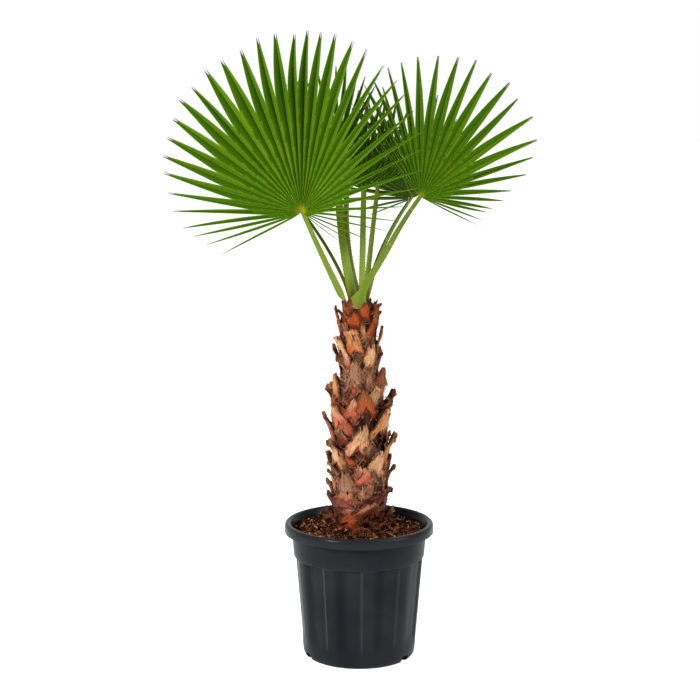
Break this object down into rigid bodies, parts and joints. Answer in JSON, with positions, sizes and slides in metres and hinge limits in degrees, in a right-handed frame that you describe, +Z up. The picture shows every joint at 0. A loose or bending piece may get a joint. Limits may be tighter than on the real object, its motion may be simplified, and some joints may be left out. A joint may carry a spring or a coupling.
{
  "type": "potted fan palm",
  "caption": "Potted Mexican fan palm: pleated fan leaves on long stalks over a stem clad in old leaf bases, standing in a round ribbed nursery pot of soil.",
  "frame": {"origin": "centre of the pot's foot, on the surface that the pot stands on", "axes": "+Z up along the pot and stem, -Y towards the plant's front, +X to the plant's right seen from the front"},
  "size_m": [0.8372, 0.5924, 1.452],
  "materials": {
    "pot_plastic": "satin anthracite moulded plastic",
    "potting_soil": "moist crumbly peat and bark compost",
    "stem_fibre": "rough brown palm fibre",
    "leaf_base_husk": "dry papery husk, tan to rust red",
    "leaf_stalk": "smooth waxy green",
    "leaf_blade": "pleated leathery green leaf"
  },
  "bodies": {
    "root": {"nursery_pot": "pot_plastic", "potting_soil": "potting_soil", "palm_stem": "stem_fibre", "leaf_base_01": "leaf_base_husk", "leaf_base_02": "leaf_base_husk", "leaf_base_03": "leaf_base_husk", "leaf_base_04": "leaf_base_husk", "leaf_base_05": "leaf_base_husk", "leaf_base_06": "leaf_base_husk", "leaf_base_07": "leaf_base_husk", "leaf_base_08": "leaf_base_husk", "leaf_base_09": "leaf_base_husk", "leaf_base_10": "leaf_base_husk", "leaf_base_11": "leaf_base_husk", "leaf_base_12": "leaf_base_husk", "leaf_base_13": "leaf_base_husk", "leaf_base_14": "leaf_base_husk", "leaf_base_15": "leaf_base_husk", "leaf_base_16": "leaf_base_husk", "leaf_base_17": "leaf_base_husk", "leaf_base_18": "leaf_base_husk", "leaf_base_19": "leaf_base_husk", "leaf_base_20": "leaf_base_husk", "leaf_base_21": "leaf_base_husk", "leaf_base_22": "leaf_base_husk", "leaf_base_23": "leaf_base_husk", "leaf_base_24": "leaf_base_husk", "leaf_base_25": "leaf_base_husk", "leaf_base_26": "leaf_base_husk", "leaf_base_27": "leaf_base_husk", "leaf_base_28": "leaf_base_husk", "leaf_base_29": "leaf_base_husk", "leaf_base_30": "leaf_base_husk", "leaf_base_31": "leaf_base_husk", "leaf_base_32": "leaf_base_husk", "leaf_base_33": "leaf_base_husk", "leaf_base_34": "leaf_base_husk", "leaf_base_35": "leaf_base_husk", "leaf_base_36": "leaf_base_husk", "leaf_base_37": "leaf_base_husk", "leaf_base_38": "leaf_base_husk", "leaf_stalk_left_front": "leaf_stalk", "leaf_blade_left_front": "leaf_blade", "leaf_stalk_left_back": "leaf_stalk", "leaf_blade_left_back": "leaf_blade", "leaf_stalk_centre_left": "leaf_stalk", "leaf_blade_centre_left": "leaf_blade", "leaf_stalk_centre_back": "leaf_stalk", "leaf_blade_centre_back": "leaf_blade", "leaf_stalk_centre_front": "leaf_stalk", "leaf_blade_centre_front": "leaf_blade", "leaf_stalk_centre_right": "leaf_stalk", "leaf_blade_centre_right": "leaf_blade", "leaf_stalk_right_back": "leaf_stalk", "leaf_blade_right_back": "leaf_blade", "leaf_stalk_right_front": "leaf_stalk", "leaf_blade_right_front": "leaf_blade"}
  },
  "joints": []
}
